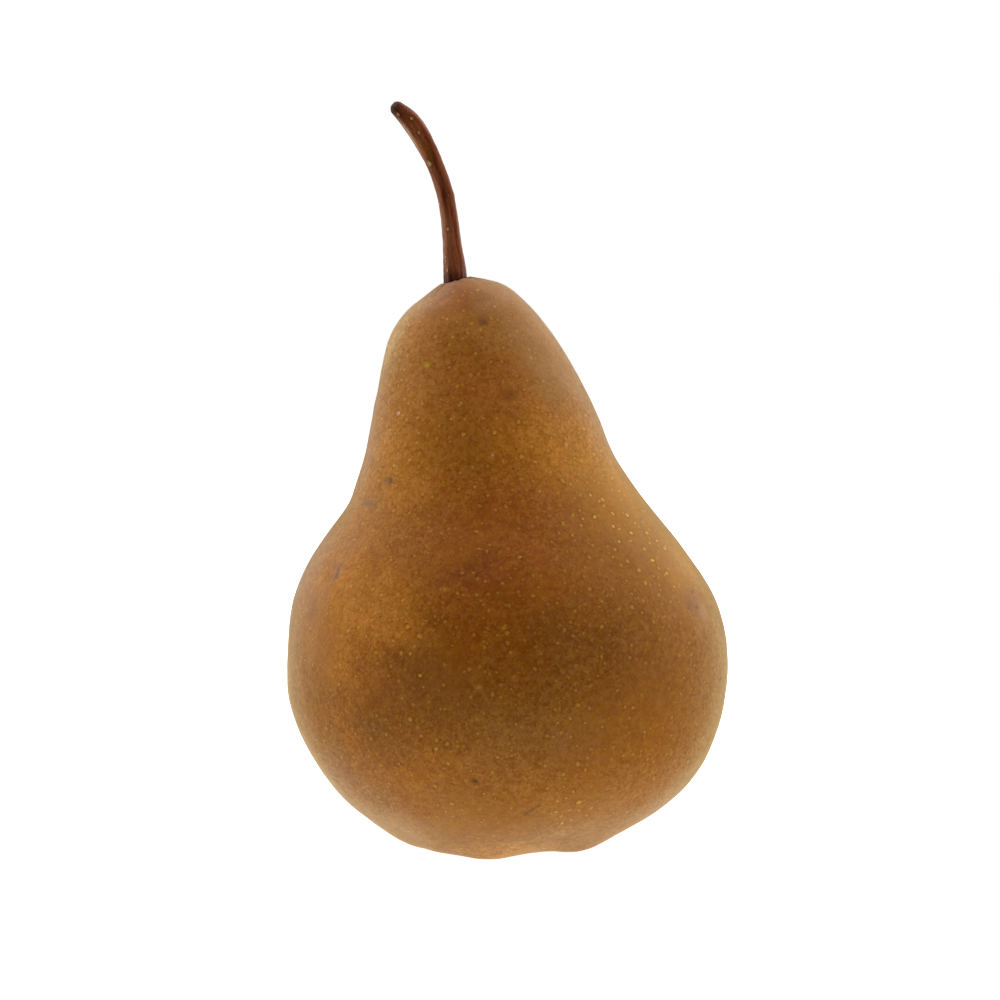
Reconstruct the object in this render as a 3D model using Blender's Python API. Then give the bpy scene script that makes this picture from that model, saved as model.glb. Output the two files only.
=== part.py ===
"""A ripe russet pear standing on its calyx end: the fruit, its woody stem and its dried calyx.

Row frame: metres, +Z up. The origin is on the surface that the pear stands on, under the middle
of the fruit. The stem bends towards -X, and the front of the pear faces -Y.

The fruit is a loft. Each station joins a point on its left outline to a point on its right
outline by a ring with a depth of its own, so a ring can be off centre and tilted. A smooth curve
runs through the stations on each side. Five soft ribs, one for each carpel, come
up from the calyx basin, and the pear stands on the small flats that are worn on their lowest
points.
"""

import math

import bmesh
import bpy
import numpy as np
from mathutils import Vector

MM = 0.001

# ---------------------------------------------------------------- driving dimensions, in mm
# The fruit's stations, from the calyx basin up to the lip round the stem:
# left x, left z, right x, right z, half of the depth from front to back.
OUTLINE = (
    (-3.3, 5.5, 3.3, 5.4, 3.3),  # floor of the calyx basin
    (-6.5, 3.8, 6.4, 3.7, 6.5),
    (-10.4, 0.8, 10.1, 0.8, 10.2),
    (-13.6, 0.1, 13.3, 0.1, 13.4),  # the rim that the pear stands on
    (-19.7, 2.5, 18.9, 2.5, 19.2),
    (-26.7, 7.4, 27.1, 7.5, 26.6),
    (-32.9, 15.9, 33.8, 16.0, 33.0),
    (-36.4, 24.5, 36.3, 24.4, 36.0),
    (-36.7, 32.5, 36.9, 32.6, 36.4),  # the widest part of the belly
    (-35.6, 41.3, 34.9, 41.3, 34.8),
    (-31.9, 49.7, 29.7, 49.7, 30.6),
    (-28.0, 55.0, 25.3, 55.0, 27.1),
    (-26.1, 58.2, 22.8, 58.2, 25.1),  # the waist, sharper on the left
    (-24.0, 64.7, 18.3, 64.7, 21.5),
    (-22.3, 72.0, 15.1, 72.0, 18.5),
    (-21.0, 79.0, 11.6, 79.0, 16.0),
    (-19.6, 84.7, 8.2, 84.7, 13.8),
    (-16.3, 90.0, 3.3, 90.7, 9.8),
    (-12.1, 93.3, -2.7, 94.5, 4.8),
    (-11.0, 93.9, -6.0, 95.0, 2.6),  # the lip round the stem
)
LEAN_BACK = 1.6  # how far the crown stands behind the belly

RIBS = 5
RIB_TURN = math.radians(-103.6)  # the rib nearest the front
RIB_RELIEF = 0.56  # half of the height from furrow to rib on the rim
FLAT_DEPTH = 0.22  # how much of each rib's lowest point is flattened

STEM_GAP = 0.3  # clearance round the root of the stem and of the calyx
STEM_ROOT = 3.2  # how deep the stem is set in the crown
DIMPLE = 0.9  # how far the skin dips from the lip to the stem

# The stem's line and radius: x, y (from the crown's centre), z, radius. The first is its root.
STEM = (
    (-8.5, 0.0, 91.4, 1.75),
    (-8.55, 0.0, 95.4, 1.90),
    (-8.9, 0.05, 99.9, 1.58),
    (-9.4, 0.0, 104.4, 1.42),
    (-10.2, -0.25, 109.0, 1.37),
    (-11.8, -0.6, 113.8, 1.40),
    (-14.15, -1.0, 118.3, 1.70),
    (-16.6, -1.3, 121.8, 1.70),
    (-17.8, -1.45, 123.4, 1.12),
)

CALYX_RADIUS = 2.3  # of the dried tube that is left of the flower
CALYX_ROOT = 1.7  # how deep it is set in the basin's floor
SEPALS = 5
SEPAL_LENGTH = 4.2
SEPAL_THICKNESS = 0.5

SIDES = 72  # round the fruit
RINGS = 48  # from the basin to the lip


# ------------------------------------------------------------------------------- geometry
def smooth_curve(knots, values, at):
    """A natural cubic spline through values at knots, read at the places in at."""
    knots, values, at = (np.asarray(a, float) for a in (knots, values, at))
    n, h = len(knots), np.diff(knots)
    matrix, right = np.eye(n), np.zeros((n,) + values.shape[1:])
    for i in range(1, n - 1):
        matrix[i, i - 1 : i + 2] = h[i - 1], 2 * (h[i - 1] + h[i]), h[i]
        right[i] = 6 * (
            (values[i + 1] - values[i]) / h[i] - (values[i] - values[i - 1]) / h[i - 1]
        )
    bend = np.linalg.solve(matrix, right)
    k = np.clip(np.searchsorted(knots, at, "right") - 1, 0, n - 2)
    shape = (-1,) + (1,) * (values.ndim - 1)
    a = ((knots[k + 1] - at) / h[k]).reshape(shape)
    b = ((at - knots[k]) / h[k]).reshape(shape)
    hk = h[k].reshape(shape)
    return (
        a * values[k]
        + b * values[k + 1]
        + ((a**3 - a) * bend[k] + (b**3 - b) * bend[k + 1]) * hk**2 / 6
    )


def outline_knots():
    """The stations' places along the outline: the mean length of the two sides up to each."""
    points = np.array(OUTLINE)
    left = np.linalg.norm(np.diff(points[:, 0:2], axis=0), axis=1)
    right = np.linalg.norm(np.diff(points[:, 2:4], axis=0), axis=1)
    return np.concatenate([[0], np.cumsum((left + right) / 2)])


def window(x, low, high):
    """0 below low, 1 above high, and smooth between."""
    t = np.clip((x - low) / (high - low), 0, 1)
    return t * t * (3 - 2 * t)


def fruit_skin(along, turn):
    """Points of the skin, in mm, for places along the outline and angles round it."""
    knots = outline_knots()
    lx, lz, rx, rz, half = smooth_curve(knots, np.array(OUTLINE), along).T[:, :, None]
    c, s = np.cos(turn)[None, :], np.sin(turn)[None, :]
    height = (lz + rz) / 2
    x = (lx + rx) / 2 + (rx - lx) / 2 * c
    y = LEAN_BACK * window(height, 35, 95) + half * s
    z = height + (rz - lz) / 2 * c
    skin = np.stack([x, y, z], axis=2)

    # The way out of the skin at each point, for the ribs and the soft undulation.
    down = np.gradient(skin, along, axis=0)
    across = np.stack([-(rx - lx) / 2 * s, half * c, -(rz - lz) / 2 * s], axis=2)
    out = np.cross(across, down)
    out /= np.maximum(np.linalg.norm(out, axis=2, keepdims=True), 1e-9)

    rim = knots[3]
    rise = (along - rim)[:, None]
    fade = np.exp(-((rise / np.where(rise < 0, 6.2, 15.0)) ** 2))
    ribs = RIB_RELIEF * fade * np.cos(RIBS * (turn[None, :] - RIB_TURN))
    ribs = ribs * (1 + 0.10 * np.cos(2 * turn[None, :] + 0.7))
    # Soft swellings, which leave the left and right outlines as they are.
    swell = s**2 * (
        0.30 * np.exp(-(((height - 34) / 14) ** 2)) * np.cos(3 * turn + 0.5)
        + 0.25 * np.exp(-(((height - 60) / 12) ** 2)) * np.cos(2 * turn - 0.9)
        + 0.20 * np.exp(-(((height - 80) / 9) ** 2)) * np.cos(3 * turn + 2.1)
        + 0.20 * np.exp(-(((height - 21) / 8) ** 2)) * np.cos(4 * turn + 1.3)
    )
    return skin + out * (ribs + swell)[:, :, None]


def crown():
    """The middle of the lip round the stem, in mm, and how far the lip slopes from left to right."""
    lx, lz, rx, rz, _ = OUTLINE[-1]
    return (lx + rx) / 2, LEAN_BACK, (lz + rz) / 2, (rz - lz) / (rx - lx)


def stem_line(count):
    """Points, directions and radii of the stem at places evenly spaced along it."""
    table = np.array(STEM) + np.array([0, LEAN_BACK, 0, 0])
    knots = np.concatenate(
        [[0], np.cumsum(np.linalg.norm(np.diff(table[:, :3], axis=0), axis=1))]
    )
    at = np.linspace(0, knots[-1], count)
    read = smooth_curve(knots, table, at)
    way = np.gradient(read[:, :3], at, axis=0)
    return read[:, :3], way / np.linalg.norm(way, axis=1, keepdims=True), read[:, 3]


# ------------------------------------------------------------------------------- mesh helpers
def skin_rings(mesh, rings):
    """Quads between closed rings of vertices, each ring with the same number of them."""
    for low, high in zip(rings, rings[1:]):
        for i in range(len(low)):
            j = (i + 1) % len(low)
            mesh.faces.new((low[i], low[j], high[j], high[i]))


def cap(mesh, ring, centre):
    """A fan of triangles from a ring to one vertex in its middle."""
    middle = mesh.verts.new(centre)
    for i in range(len(ring)):
        mesh.faces.new((ring[i], ring[(i + 1) % len(ring)], middle))


def add_ring(mesh, points):
    return [mesh.verts.new(Vector(p) * MM) for p in points]


def circle(centre, radius, turn, slope=0.0):
    """A ring of points round +Z. slope raises it towards +X."""
    return [
        (
            centre[0] + radius * math.cos(a),
            centre[1] + radius * math.sin(a),
            centre[2] + slope * radius * math.cos(a),
        )
        for a in turn
    ]


def principled(name, colour, roughness):
    material = bpy.data.materials.new(name)
    material.use_nodes = True
    shader = material.node_tree.nodes["Principled BSDF"]
    shader.inputs["Base Color"].default_value = (*colour, 1.0)
    shader.inputs["Roughness"].default_value = roughness
    shader.inputs["Metallic"].default_value = 0.0
    material.diffuse_color = (*colour, 1.0)
    return material


def add_object(name, mesh, material, sharp_degrees):
    bmesh.ops.recalc_face_normals(mesh, faces=mesh.faces[:])
    data = bpy.data.meshes.new(name)
    mesh.to_mesh(data)
    mesh.free()
    data.shade_smooth()
    data.set_sharp_from_angle(angle=math.radians(sharp_degrees))
    data.materials.append(material)
    made = bpy.data.objects.new(name, data)
    bpy.context.scene.collection.objects.link(made)
    return made


# ------------------------------------------------------------------------------- the pieces
def build_fruit():
    """The whole fruit, with the sockets that the stem and the calyx grow out of."""
    mesh = bmesh.new()
    turn = np.linspace(0, 2 * math.pi, SIDES, endpoint=False)
    knots = outline_knots()
    # Rings lie closer together in the basin and at the crown than on the belly.
    share = np.linspace(0, 1, RINGS)
    share = share - 0.055 * np.sin(2 * math.pi * share)
    skin = fruit_skin(knots[-1] * share, turn)
    skin[:, :, 2] -= skin[:, :, 2].min() + FLAT_DEPTH

    cx, cy, cz, slope = crown()
    top_z = cz - DIMPLE
    root = STEM[0][2] - STEM_GAP
    hole = STEM[1][3] + STEM_GAP
    floor_z = float(skin[0, :, 2].mean())
    pocket = CALYX_RADIUS + STEM_GAP
    rings = [
        circle((0, 0, floor_z + CALYX_ROOT + STEM_GAP), pocket, turn),
        circle((0, 0, floor_z + 0.1), pocket, turn),
        *skin,
        circle(((cx + STEM[1][0]) / 2, cy, cz - 0.3), hole + 0.25, turn, slope),
        circle((STEM[1][0], cy, top_z), hole, turn, slope * 0.5),
        circle((STEM[0][0], cy, root), hole, turn),
    ]
    made = [add_ring(mesh, ring) for ring in rings]
    skin_rings(mesh, made)
    cap(mesh, made[0][::-1], Vector((0, 0, floor_z + CALYX_ROOT + STEM_GAP)) * MM)
    cap(mesh, made[-1], Vector((STEM[0][0], cy, root)) * MM)

    # The flats: what reaches below the ground is cut off, and each cut is closed.
    bmesh.ops.recalc_face_normals(mesh, faces=mesh.faces[:])
    bmesh.ops.bisect_plane(
        mesh,
        geom=mesh.verts[:] + mesh.edges[:] + mesh.faces[:],
        dist=2e-6,
        plane_co=(0, 0, 0),
        plane_no=(0, 0, 1),
        clear_inner=True,
    )
    bmesh.ops.holes_fill(mesh, edges=[e for e in mesh.edges if e.is_boundary], sides=0)
    for vertex in mesh.verts:
        if abs(vertex.co.z) < 4e-6:
            vertex.co.z = 0.0
    return add_object(
        "fruit", mesh, principled("russet_skin", (0.36, 0.17, 0.045), 0.5), 40
    ), floor_z


def build_stem():
    """A bent woody stem with four low ridges, thick at both ends."""
    mesh = bmesh.new()
    centres, ways, radii = stem_line(34)
    turn = np.linspace(0, 2 * math.pi, 18, endpoint=False)
    rings = []
    across = Vector((1, 0, 0))
    for i, (centre, way, radius) in enumerate(zip(centres, ways, radii)):
        way = Vector(way)
        across = (across - way * across.dot(way)).normalized()
        other = way.cross(across)
        share = i / (len(centres) - 1)
        ridge = 0.06 * min(1.0, 4 * share) * min(1.0, 5 * (1 - share))
        rings.append(
            add_ring(
                mesh,
                [
                    Vector(centre)
                    + (across * math.cos(a) + other * math.sin(a))
                    * radius
                    * (1 + ridge * math.cos(4 * a + 2.2 * share))
                    for a in turn
                ],
            )
        )
    skin_rings(mesh, rings)
    cap(mesh, rings[0][::-1], Vector(centres[0]) * MM)
    cap(mesh, rings[-1], Vector(centres[-1] + ways[-1] * 0.35) * MM)
    return add_object("stem", mesh, principled("woody_stem", (0.15, 0.055, 0.025), 0.6), 50)


def build_calyx(floor_z):
    """What is left of the flower: a short dry tube whose rim opens into five pointed sepals."""
    mesh = bmesh.new()
    turn = np.linspace(0, 2 * math.pi, 60, endpoint=False)
    reach = np.abs(np.cos(SEPALS / 2 * (turn - RIB_TURN))) ** 1.3
    top = floor_z + CALYX_ROOT

    def ring(out, down, grow_out, grow_down):
        return [
            (
                (out + grow_out * r) * math.cos(a),
                (out + grow_out * r) * math.sin(a),
                top - down - grow_down * r,
            )
            for a, r in zip(turn, reach)
        ]

    t = SEPAL_THICKNESS
    rings = [
        circle((0, 0, top), CALYX_RADIUS - 0.3, turn),
        circle((0, 0, top - 0.3), CALYX_RADIUS, turn),
        circle((0, 0, top - CALYX_ROOT), CALYX_RADIUS, turn),
        ring(CALYX_RADIUS + 0.05, CALYX_ROOT + 0.25, 0.35 * SEPAL_LENGTH, 0.05),
        ring(CALYX_RADIUS + 0.08, CALYX_ROOT + 0.55, 0.72 * SEPAL_LENGTH, 1.0),
        ring(CALYX_RADIUS - 0.2, CALYX_ROOT + 0.75, 0.74 * SEPAL_LENGTH, 1.25),
        ring(CALYX_RADIUS - t, CALYX_ROOT + 0.65, 0.38 * SEPAL_LENGTH, 0.35),
        circle((0, 0, top - CALYX_ROOT), CALYX_RADIUS - t, turn),
        circle((0, 0, top - 0.9), CALYX_RADIUS - 2 * t, turn),
    ]
    made = [add_ring(mesh, points) for points in rings]
    skin_rings(mesh, made)
    cap(mesh, made[0][::-1], Vector((0, 0, top)) * MM)
    cap(mesh, made[-1], Vector((0, 0, top - 0.9)) * MM)
    return add_object("calyx", mesh, principled("dried_calyx", (0.09, 0.05, 0.03), 0.8), 50)


def centre_on_origin(pieces):
    """Moves the pear so that the middle of its width and depth stands over the origin."""
    points = np.array([v.co for piece in pieces for v in piece.data.vertices])
    middle = (points.min(axis=0) + points.max(axis=0)) / 2
    for piece in pieces:
        for vertex in piece.data.vertices:
            vertex.co.x -= middle[0]
            vertex.co.y -= middle[1]


def main():
    for old in list(bpy.data.objects):
        bpy.data.objects.remove(old)
    fruit, floor_z = build_fruit()
    stem = build_stem()
    calyx = build_calyx(floor_z)
    centre_on_origin([fruit, stem, calyx])


main()
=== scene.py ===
import math

import bmesh
import bpy
import numpy as np
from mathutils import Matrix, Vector, noise


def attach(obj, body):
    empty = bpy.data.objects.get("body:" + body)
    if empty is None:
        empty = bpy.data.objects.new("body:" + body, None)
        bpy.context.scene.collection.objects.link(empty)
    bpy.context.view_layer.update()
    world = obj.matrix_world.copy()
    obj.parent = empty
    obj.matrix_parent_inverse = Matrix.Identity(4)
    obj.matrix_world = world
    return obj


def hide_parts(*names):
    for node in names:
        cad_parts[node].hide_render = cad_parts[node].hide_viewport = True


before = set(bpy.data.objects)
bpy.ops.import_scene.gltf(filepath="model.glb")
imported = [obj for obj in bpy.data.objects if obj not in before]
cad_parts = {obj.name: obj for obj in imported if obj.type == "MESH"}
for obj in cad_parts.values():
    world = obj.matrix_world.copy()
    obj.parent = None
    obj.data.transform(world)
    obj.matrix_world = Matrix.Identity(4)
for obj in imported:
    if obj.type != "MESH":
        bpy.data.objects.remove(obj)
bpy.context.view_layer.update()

MM = 0.001

# =========================================================================== driving dimensions
# The fruit's stations, from the calyx basin up to the lip round the stem, in mm:
# left x, left z, right x, right z, half of the depth from front to back.
OUTLINE = (
    (-3.3, 5.5, 3.3, 5.4, 3.3),  # floor of the calyx basin
    (-6.5, 3.8, 6.4, 3.7, 6.5),
    (-10.4, 0.8, 10.1, 0.8, 10.2),
    (-13.6, 0.1, 13.3, 0.1, 13.4),  # the rim that the pear stands on
    (-19.7, 2.5, 18.9, 2.5, 19.2),
    (-26.7, 7.4, 27.1, 7.5, 26.6),
    (-32.9, 15.9, 33.8, 16.0, 33.0),
    (-36.4, 24.5, 36.3, 24.4, 36.0),
    (-36.7, 32.5, 36.9, 32.6, 36.4),  # the widest part of the belly
    (-35.6, 41.3, 34.9, 41.3, 34.8),
    (-31.9, 49.7, 29.7, 49.7, 30.6),
    (-28.0, 55.0, 25.3, 55.0, 27.1),
    (-26.1, 58.2, 22.8, 58.2, 25.1),  # the waist, sharper on the left
    (-24.0, 64.7, 18.3, 64.7, 21.5),
    (-22.3, 72.0, 15.1, 72.0, 18.5),
    (-21.0, 79.0, 11.6, 79.0, 16.0),
    (-19.6, 84.7, 8.2, 84.7, 13.8),
    (-16.3, 90.0, 3.3, 90.7, 9.8),
    (-12.1, 93.3, -2.7, 94.5, 4.8),
    (-11.0, 93.9, -6.0, 95.0, 2.6),  # the lip round the stem
)
LEAN_BACK = 1.6

RIBS = 5
RIB_TURN = math.radians(-103.6)
RIB_RELIEF = 0.56
FLAT_DEPTH = 0.22

# The stem's line and radius: x, y (from the crown's centre), z, radius.
STEM = (
    (-8.5, 0.0, 91.4, 1.75),
    (-8.55, 0.0, 95.4, 1.90),
    (-8.9, 0.05, 99.9, 1.58),
    (-9.4, 0.0, 104.4, 1.42),
    (-10.2, -0.25, 109.0, 1.37),
    (-11.8, -0.6, 113.8, 1.40),
    (-14.05, -1.0, 118.3, 1.60),
    (-16.15, -1.25, 121.3, 1.58),
    (-17.95, -1.45, 123.0, 1.22),
)

CALYX_RADIUS = 2.3
SEPALS = 5

SKIN_SIDES = 400
SKIN_RINGS = 224
STEM_SIDES = 96
STEM_RINGS = 300


# ======================================================================================== geometry
def smooth_curve(knots, values, at):
    """A natural cubic spline through values at knots, read at the places in at."""
    knots, values, at = (np.asarray(a, float) for a in (knots, values, at))
    n, h = len(knots), np.diff(knots)
    matrix, right = np.eye(n), np.zeros((n,) + values.shape[1:])
    for i in range(1, n - 1):
        matrix[i, i - 1 : i + 2] = h[i - 1], 2 * (h[i - 1] + h[i]), h[i]
        right[i] = 6 * (
            (values[i + 1] - values[i]) / h[i] - (values[i] - values[i - 1]) / h[i - 1]
        )
    bend = np.linalg.solve(matrix, right)
    k = np.clip(np.searchsorted(knots, at, "right") - 1, 0, n - 2)
    shape = (-1,) + (1,) * (values.ndim - 1)
    a = ((knots[k + 1] - at) / h[k]).reshape(shape)
    b = ((at - knots[k]) / h[k]).reshape(shape)
    hk = h[k].reshape(shape)
    return (
        a * values[k]
        + b * values[k + 1]
        + ((a**3 - a) * bend[k] + (b**3 - b) * bend[k + 1]) * hk**2 / 6
    )


def outline_knots():
    points = np.array(OUTLINE)
    left = np.linalg.norm(np.diff(points[:, 0:2], axis=0), axis=1)
    right = np.linalg.norm(np.diff(points[:, 2:4], axis=0), axis=1)
    return np.concatenate([[0], np.cumsum((left + right) / 2)])


def window(x, low, high):
    t = np.clip((x - low) / (high - low), 0, 1)
    return t * t * (3 - 2 * t)


def fruit_skin(along, turn):
    """The plain skin, in mm, as the CAD model has it."""
    knots = outline_knots()
    lx, lz, rx, rz, half = smooth_curve(knots, np.array(OUTLINE), along).T[:, :, None]
    c, s = np.cos(turn)[None, :], np.sin(turn)[None, :]
    height = (lz + rz) / 2
    x = (lx + rx) / 2 + (rx - lx) / 2 * c
    y = LEAN_BACK * window(height, 35, 95) + half * s
    z = height + (rz - lz) / 2 * c
    skin = np.stack([x, y, z], axis=2)
    down = np.gradient(skin, along, axis=0)
    across = np.stack([-(rx - lx) / 2 * s, half * c, -(rz - lz) / 2 * s], axis=2)
    out = np.cross(across, down)
    out /= np.maximum(np.linalg.norm(out, axis=2, keepdims=True), 1e-9)

    rise = (along - knots[3])[:, None]
    fade = np.exp(-((rise / np.where(rise < 0, 6.2, 15.0)) ** 2))
    ribs = RIB_RELIEF * fade * np.cos(RIBS * (turn[None, :] - RIB_TURN))
    ribs = ribs * (1 + 0.10 * np.cos(2 * turn[None, :] + 0.7))
    swell = s**2 * (
        0.30 * np.exp(-(((height - 34) / 14) ** 2)) * np.cos(3 * turn + 0.5)
        + 0.25 * np.exp(-(((height - 60) / 12) ** 2)) * np.cos(2 * turn - 0.9)
        + 0.20 * np.exp(-(((height - 80) / 9) ** 2)) * np.cos(3 * turn + 2.1)
        + 0.20 * np.exp(-(((height - 21) / 8) ** 2)) * np.cos(4 * turn + 1.3)
    )
    return skin + out * (ribs + swell)[:, :, None], out


def soft_noise(points, scale, seed, octaves=2):
    """Perlin noise of about -1 to 1 at points in mm; scale is the size of its features in mm."""
    flat = points.reshape(-1, 3) / scale + np.array(seed)
    values = np.empty(len(flat))
    for i, p in enumerate(flat):
        values[i] = noise.fractal(Vector(p), 1.0, 2.0, octaves)
    return values.reshape(points.shape[:-1])


# Dents and bruises that the skin really has, by where they lie: x, z on the front of the fruit,
# radius and depth, all in mm. A negative depth stands proud.
DENTS = (
    (-19.5, 62.4, 2.2, 0.16),
    (-21.8, 58.6, 1.9, 0.12),
    (-27.8, 47.8, 2.1, 0.15),
    (-31.8, 41.7, 3.4, 0.14),
    (30.4, 43.0, 2.6, 0.13),
    (3.8, 10.8, 1.3, 0.07),
    (-5.2, 16.1, 1.0, 0.09),
    (0.4, 76.6, 1.2, -0.05),
    (11.5, 66.0, 4.5, 0.16),
    (-8.0, 55.0, 5.0, 0.10),
    (19.5, 22.0, 5.5, 0.16),
    (-24.0, 20.0, 5.0, 0.14),
)


# Broad hollows in the sides, and swellings where the depth is negative: x, y, z, radius, depth.
HOLLOWS = (
    (-13.8, 0.0, 92.3, 4.2, 0.50),
    (-18.2, 0.0, 87.0, 4.5, 0.16),
    (-21.3, 0.0, 77.0, 4.5, -0.06),
    (-23.9, 0.0, 66.0, 3.6, 0.24),
    (-26.6, 0.0, 57.4, 3.2, 0.34),
    (-31.8, 0.0, 49.5, 5.0, 0.24),
    (-36.5, 0.0, 34.0, 9.0, 0.16),
    (-25.0, 0.0, 6.5, 6.5, 0.42),
    (30.6, 0.0, 47.5, 5.0, 0.25),
    (35.6, 0.0, 21.5, 5.0, -0.18),
    (30.6, 0.0, 12.0, 4.5, -0.26),
    (17.5, -6.0, 2.0, 4.5, 0.15),
    (10.6, -11.0, 1.4, 3.6, 0.42),
    (-11.6, -11.0, 1.8, 3.8, -0.68),
    (-18.5, -7.0, 2.6, 3.0, -0.12),
    (-3.5, 0.0, 94.9, 3.0, 0.10),
    (-30.0, 24.0, 28.0, 9.0, 0.24),
    (14.0, 32.0, 44.0, 8.0, -0.20),
)


def build_fruit():
    knots = outline_knots()
    turn = math.pi / 2 + np.linspace(0, 2 * math.pi, SKIN_SIDES, endpoint=False)
    share = np.linspace(0, 1, SKIN_RINGS)
    share = share - 0.045 * np.sin(2 * math.pi * share)
    skin, out = fruit_skin(knots[-1] * share, turn)
    lowest = skin[:, :, 2].min() + FLAT_DEPTH
    skin[:, :, 2] -= lowest

    x, y, z = skin[:, :, 0], skin[:, :, 1], skin[:, :, 2]
    reach = np.hypot(x - (-8.5), y - LEAN_BACK)
    # Unevenness in three sizes.
    relief = 0.13 * soft_noise(skin, 11.0, (3.1, 7.7, 1.3))
    relief += 0.045 * soft_noise(skin, 4.2, (9.4, 2.2, 5.8))
    relief += 0.014 * soft_noise(skin, 1.5, (4.0, 6.1, 8.8))
    # Fine pleats of skin that run up to the stem, and along the furrows of the basin.
    angle = np.arctan2(y - LEAN_BACK, x + 8.5)
    pleat = np.cos(11 * angle + 1.2 * np.sin(2 * angle + 0.6)) * 0.6 + 0.4 * np.cos(17 * angle + 2.0)
    relief += 0.075 * pleat * np.exp(-(((reach - 3.0) / 2.6) ** 2)) * (z > 70)
    basin = np.hypot(x, y)
    around = np.arctan2(y, x)
    low_side = np.exp(-(((basin - 7.5) / 3.6) ** 2)) * (z < 6.5)
    relief += 0.07 * np.cos(23 * around + 2.2 * np.sin(3 * around)) * low_side
    front = window(-y, -5.0, 5.0)
    for dx, dz, radius, depth in DENTS:
        near = ((x - dx) ** 2 + (z - dz) ** 2) / radius**2
        relief -= front * depth * np.exp(-near)
    for dx, dy, dz, radius, depth in HOLLOWS:
        # Longer round the pear than up it.
        near = ((x - dx) ** 2 + ((y - dy) / 2.2) ** 2 + (z - dz) ** 2) / radius**2
        relief -= depth * np.exp(-near)
    for k in range(34):
        a = 2.399963 * k + 0.7
        h = 8 + 80 * ((k * 0.6180339) % 1.0)
        i = int(np.argmin(np.abs(z.mean(axis=1) - h)))
        j = int((a % (2 * math.pi)) / (2 * math.pi) * SKIN_SIDES)
        away = np.linalg.norm(skin - skin[i, j], axis=2)
        size = 1.0 + 2.2 * ((k * 0.7548776) % 1.0)
        relief -= (0.05 + 0.07 * ((k * 0.5698403) % 1.0)) * np.exp(-((away / size) ** 2))
    # A pear that has stood on a bench is pressed flat at its five lowest points.
    skin = skin + out * relief[:, :, None]
    soft = 0.075
    z = soft * np.logaddexp(0.0, skin[:, :, 2] / soft)
    skin[:, :, 2] = z - z.min()

    rings = [skin[i] for i in range(SKIN_RINGS)]
    c, s = np.cos(turn), np.sin(turn)

    # Down into the crease round the stem. The last ring is inside the stem.
    lip = rings[-1]
    centre = lip.mean(axis=0)
    stem_at = np.array([STEM[1][0], LEAN_BACK, 0.0])
    inner = STEM[1][3] - 0.12
    crease = []
    for f in np.linspace(0, 1, 13)[1:]:
        a = f * math.pi / 2
        slide = math.sin(a)
        target = np.stack(
            [stem_at[0] + inner * c, stem_at[1] + inner * s, np.full(SKIN_SIDES, centre[2])], axis=1
        )
        ring = lip * (1 - slide) + target * slide
        ring[:, 2] = lip[:, 2] - 0.95 * (1 - math.cos(a)) + 0.05 * math.sin(math.pi * f) * np.cos(7 * turn)
        crease.append(ring)
    last = crease[-1].copy()
    last[:, 2] = centre[2] - 2.2
    crease.append(last)

    # Up into the tube that the calyx sits in.
    floor = rings[0]
    tube = []
    for f in np.linspace(0, 1, 9)[1:]:
        a = f * math.pi / 2
        r = CALYX_RADIUS - 0.1
        target = np.stack([r * c, r * s, floor[:, 2]], axis=1)
        ring = floor * (1 - math.sin(a)) + target * math.sin(a)
        ring[:, 2] = floor[:, 2] + 0.7 * (1 - math.cos(a))
        tube.append(ring)
    top = tube[-1].copy()
    top[:, 2] = floor[:, 2].mean() + 1.4
    tube.append(top)
    rings = tube[::-1] + rings + crease

    points = np.concatenate(rings)
    start = np.array([[0, 0, tube[-1][:, 2].mean()]])
    end = np.array([[stem_at[0], stem_at[1], centre[2] - 2.2]])
    points = np.concatenate([points, start, end])
    middle = (skin.reshape(-1, 3).min(axis=0) + skin.reshape(-1, 3).max(axis=0)) / 2
    points[:, :2] -= middle[None, :2]
    return grid_object("pear_fruit", points, len(rings), SKIN_SIDES, caps=(True, True)), middle


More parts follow.
